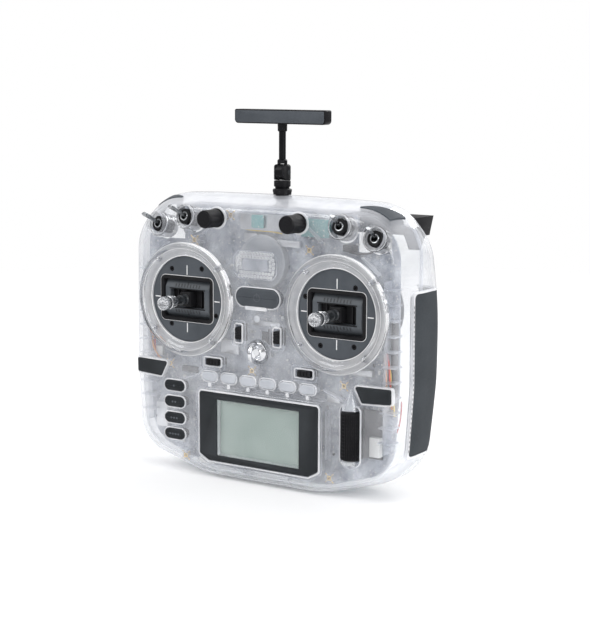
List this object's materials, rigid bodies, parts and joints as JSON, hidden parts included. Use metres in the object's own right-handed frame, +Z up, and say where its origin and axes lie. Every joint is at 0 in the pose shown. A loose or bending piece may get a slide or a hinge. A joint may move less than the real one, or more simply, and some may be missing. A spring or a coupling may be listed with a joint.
{
  "type": "radio transmitter",
  "caption": "Hand-held remote control transmitter with clear case, two stick gimbals, toggles, knobs, keys, screen, scroll roller and folding T antenna.",
  "frame": {"origin": "on the flat base, on the middle line, 30 mm behind the front face plane", "axes": "+X to the viewer's right seen from the front, +Y into the case away from the front face, +Z up"},
  "size_m": [0.202, 0.0837, 0.232],
  "materials": {
    "clear_plastic": "clear polycarbonate, glossy",
    "slate_plastic": "satin dark grey",
    "black_plastic": "fine matte black",
    "grip_rubber": "soft matte dark grey",
    "polished_steel": "polished",
    "key_clear": "milky clear",
    "screen_glass": "grey-green display",
    "board_green": "solder mask",
    "battery_wrap": "shrink wrap"
  },
  "bodies": {
    "case": {"front_shell": "clear_plastic", "rear_shell": "clear_plastic", "rear_handle": "black_plastic", "grip_left": "grip_rubber", "gimbal_plate_left": "slate_plastic", "gimbal_housing_left": "black_plastic", "grip_right": "grip_rubber", "gimbal_plate_right": "slate_plastic", "gimbal_housing_right": "black_plastic", "toggle_body_outer_left": "black_plastic", "toggle_body_outer_right": "black_plastic", "toggle_body_inner_left": "black_plastic", "toggle_body_inner_right": "black_plastic", "antenna_base": "black_plastic", "roller_bracket": "polished_steel", "strap_hook": "polished_steel", "lcd_bezel": "slate_plastic", "lcd_panel": "screen_glass", "main_board": "board_green", "battery_pack": "battery_wrap", "speaker": "black_plastic", "rf_module": "polished_steel"},
    "battery_door": {"battery_door": "clear_plastic"},
    "module_bay_cover": {"module_bay_cover": "clear_plastic"},
    "antenna_knuckle": {"antenna_knuckle": "black_plastic"},
    "antenna_mast": {"antenna_mast": "black_plastic", "antenna_bar": "black_plastic"},
    "gimbal_yoke_left": {"gimbal_yoke_left": "slate_plastic"},
    "stick_left": {"stick_shaft_left": "black_plastic", "stick_end_left": "polished_steel"},
    "gimbal_yoke_right": {"gimbal_yoke_right": "slate_plastic"},
    "stick_right": {"stick_shaft_right": "black_plastic", "stick_end_right": "polished_steel"},
    "toggle_lever_outer_left": {"toggle_lever_outer_left": "polished_steel"},
    "toggle_lever_outer_right": {"toggle_lever_outer_right": "polished_steel"},
    "toggle_lever_inner_left": {"toggle_lever_inner_left": "polished_steel"},
    "toggle_lever_inner_right": {"toggle_lever_inner_right": "polished_steel"},
    "knob_left": {"knob_left": "black_plastic"},
    "knob_right": {"knob_right": "black_plastic"},
    "trim_vertical_left": {"trim_vertical_left": "black_plastic"},
    "trim_horizontal_left": {"trim_horizontal_left": "black_plastic"},
    "trim_vertical_right": {"trim_vertical_right": "black_plastic"},
    "trim_horizontal_right": {"trim_horizontal_right": "black_plastic"},
    "power_button": {"power_button": "slate_plastic"},
    "preset_button_1": {"preset_button_1": "key_clear"},
    "preset_button_2": {"preset_button_2": "key_clear"},
    "preset_button_3": {"preset_button_3": "key_clear"},
    "preset_button_4": {"preset_button_4": "key_clear"},
    "preset_button_5": {"preset_button_5": "key_clear"},
    "preset_button_6": {"preset_button_6": "key_clear"},
    "menu_button_1": {"menu_button_1": "slate_plastic"},
    "menu_button_2": {"menu_button_2": "slate_plastic"},
    "menu_button_3": {"menu_button_3": "slate_plastic"},
    "menu_button_4": {"menu_button_4": "slate_plastic"},
    "page_button_left": {"page_button_left": "slate_plastic"},
    "page_button_right": {"page_button_right": "slate_plastic"},
    "shoulder_button_left": {"shoulder_button_left": "slate_plastic"},
    "shoulder_button_right": {"shoulder_button_right": "slate_plastic"},
    "scroll_roller": {"scroll_roller": "black_plastic"}
  },
  "joints": [
    {"name": "battery_door_lift_off", "type": "slide", "parent": "case", "child": "battery_door", "axis": [0, 1, 0], "range_m": [0, 0.03]},
    {"name": "module_bay_cover_lift_off", "type": "slide", "parent": "case", "child": "module_bay_cover", "axis": [0, 1, 0], "range_m": [0, 0.03]},
    {"name": "antenna_swivel", "type": "hinge", "parent": "case", "child": "antenna_knuckle", "pos_m": [0, -0.003, 0.1842], "axis": [0, 0, 1], "range_deg": [-170, 170]},
    {"name": "antenna_fold", "type": "hinge", "parent": "antenna_knuckle", "child": "antenna_mast", "pos_m": [0, -0.003, 0.1942], "axis": [-1, 0, 0], "range_deg": [0, 90]},
    {"name": "stick_vertical_left", "type": "hinge", "parent": "case", "child": "gimbal_yoke_left", "pos_m": [-0.0558, -0.0115, 0.113], "axis": [1, 0, 0], "range_deg": [-25, 25]},
    {"name": "stick_horizontal_left", "type": "hinge", "parent": "gimbal_yoke_left", "child": "stick_left", "pos_m": [-0.0558, -0.0115, 0.113], "axis": [0, 0, 1], "range_deg": [-25, 25], "stiffness_Nm_per_rad": 0.08},
    {"name": "stick_vertical_right", "type": "hinge", "parent": "case", "child": "gimbal_yoke_right", "pos_m": [0.0558, -0.0115, 0.113], "axis": [1, 0, 0], "range_deg": [-25, 25], "stiffness_Nm_per_rad": 0.08},
    {"name": "stick_horizontal_right", "type": "hinge", "parent": "gimbal_yoke_right", "child": "stick_right", "pos_m": [0.0558, -0.0115, 0.113], "axis": [0, 0, 1], "range_deg": [-25, 25], "stiffness_Nm_per_rad": 0.08},
    {"name": "toggle_outer_left", "type": "hinge", "parent": "case", "child": "toggle_lever_outer_left", "pos_m": [-0.0799, -0.0234, 0.159], "axis": [0.9455, 0, 0.3256], "range_deg": [0, 30]},
    {"name": "toggle_outer_right", "type": "hinge", "parent": "case", "child": "toggle_lever_outer_right", "pos_m": [0.0799, -0.0234, 0.159], "axis": [0.9455, 0, -0.3256], "range_deg": [0, 30]},
    {"name": "toggle_inner_left", "type": "hinge", "parent": "case", "child": "toggle_lever_inner_left", "pos_m": [-0.057, -0.0258, 0.165], "axis": [0.9455, 0, 0.3256], "range_deg": [0, 30]},
    {"name": "toggle_inner_right", "type": "hinge", "parent": "case", "child": "toggle_lever_inner_right", "pos_m": [0.057, -0.0258, 0.165], "axis": [0.9455, 0, -0.3256], "range_deg": [0, 30]},
    {"name": "knob_left_turn", "type": "hinge", "parent": "case", "child": "knob_left", "pos_m": [-0.0302, -0.0307, 0.1662], "axis": [0, -1, 0], "range_deg": [-140, 140]},
    {"name": "knob_right_turn", "type": "hinge", "parent": "case", "child": "knob_right", "pos_m": [0.0302, -0.0307, 0.1662], "axis": [0, -1, 0], "range_deg": [-140, 140]},
    {"name": "trim_vertical_left_slide", "type": "slide", "parent": "case", "child": "trim_vertical_left", "axis": [0, 0, 1], "range_m": [-0.0015, 0.0015], "stiffness_N_per_m": 400},
    {"name": "trim_horizontal_left_slide", "type": "slide", "parent": "case", "child": "trim_horizontal_left", "axis": [1, 0, 0], "range_m": [-0.0015, 0.0015], "stiffness_N_per_m": 400},
    {"name": "trim_vertical_right_slide", "type": "slide", "parent": "case", "child": "trim_vertical_right", "axis": [0, 0, 1], "range_m": [-0.0015, 0.0015], "stiffness_N_per_m": 400},
    {"name": "trim_horizontal_right_slide", "type": "slide", "parent": "case", "child": "trim_horizontal_right", "axis": [1, 0, 0], "range_m": [-0.0015, 0.0015], "stiffness_N_per_m": 400},
    {"name": "power_button_press", "type": "slide", "parent": "case", "child": "power_button", "axis": [0, 1, 0], "range_m": [0, 0.0008], "stiffness_N_per_m": 500, "springref_m": -0.0005},
    {"name": "preset_button_1_press", "type": "slide", "parent": "case", "child": "preset_button_1", "axis": [0, 1, 0], "range_m": [0, 0.0007], "stiffness_N_per_m": 500, "springref_m": -0.0005},
    {"name": "preset_button_2_press", "type": "slide", "parent": "case", "child": "preset_button_2", "axis": [0, 1, 0], "range_m": [0, 0.0007], "stiffness_N_per_m": 500, "springref_m": -0.0005},
    {"name": "preset_button_3_press", "type": "slide", "parent": "case", "child": "preset_button_3", "axis": [0, 1, 0], "range_m": [0, 0.0007], "stiffness_N_per_m": 500, "springref_m": -0.0005},
    {"name": "preset_button_4_press", "type": "slide", "parent": "case", "child": "preset_button_4", "axis": [0, 1, 0], "range_m": [0, 0.0007], "stiffness_N_per_m": 500, "springref_m": -0.0005},
    {"name": "preset_button_5_press", "type": "slide", "parent": "case", "child": "preset_button_5", "axis": [0, 1, 0], "range_m": [0, 0.0007], "stiffness_N_per_m": 500, "springref_m": -0.0005},
    {"name": "preset_button_6_press", "type": "slide", "parent": "case", "child": "preset_button_6", "axis": [0, 1, 0], "range_m": [0, 0.0007], "stiffness_N_per_m": 500, "springref_m": -0.0005},
    {"name": "menu_button_1_press", "type": "slide", "parent": "case", "child": "menu_button_1", "axis": [0, 1, 0], "range_m": [0, 0.0007], "stiffness_N_per_m": 500, "springref_m": -0.0005},
    {"name": "menu_button_2_press", "type": "slide", "parent": "case", "child": "menu_button_2", "axis": [0, 1, 0], "range_m": [0, 0.0007], "stiffness_N_per_m": 500, "springref_m": -0.0005},
    {"name": "menu_button_3_press", "type": "slide", "parent": "case", "child": "menu_button_3", "axis": [0, 1, 0], "range_m": [0, 0.0007], "stiffness_N_per_m": 500, "springref_m": -0.0005},
    {"name": "menu_button_4_press", "type": "slide", "parent": "case", "child": "menu_button_4", "axis": [0, 1, 0], "range_m": [0, 0.0007], "stiffness_N_per_m": 500, "springref_m": -0.0005},
    {"name": "page_button_left_press", "type": "slide", "parent": "case", "child": "page_button_left", "axis": [0, 1, 0], "range_m": [0, 0.0007], "stiffness_N_per_m": 500, "springref_m": -0.0005},
    {"name": "page_button_right_press", "type": "slide", "parent": "case", "child": "page_button_right", "axis": [0, 1, 0], "range_m": [0, 0.0007], "stiffness_N_per_m": 500, "springref_m": -0.0005},
    {"name": "shoulder_button_left_press", "type": "slide", "parent": "case", "child": "shoulder_button_left", "axis": [0, 0, -1], "range_m": [0, 0.0012], "stiffness_N_per_m": 800, "springref_m": -0.0005},
    {"name": "shoulder_button_right_press", "type": "slide", "parent": "case", "child": "shoulder_button_right", "axis": [0, 0, -1], "range_m": [0, 0.0012], "stiffness_N_per_m": 800, "springref_m": -0.0005},
    {"name": "scroll_roller_turn", "type": "hinge", "parent": "case", "child": "scroll_roller", "pos_m": [0.0671, -0.0288, 0.0409], "axis": [0, 0, 1], "continuous": true}
  ]
}
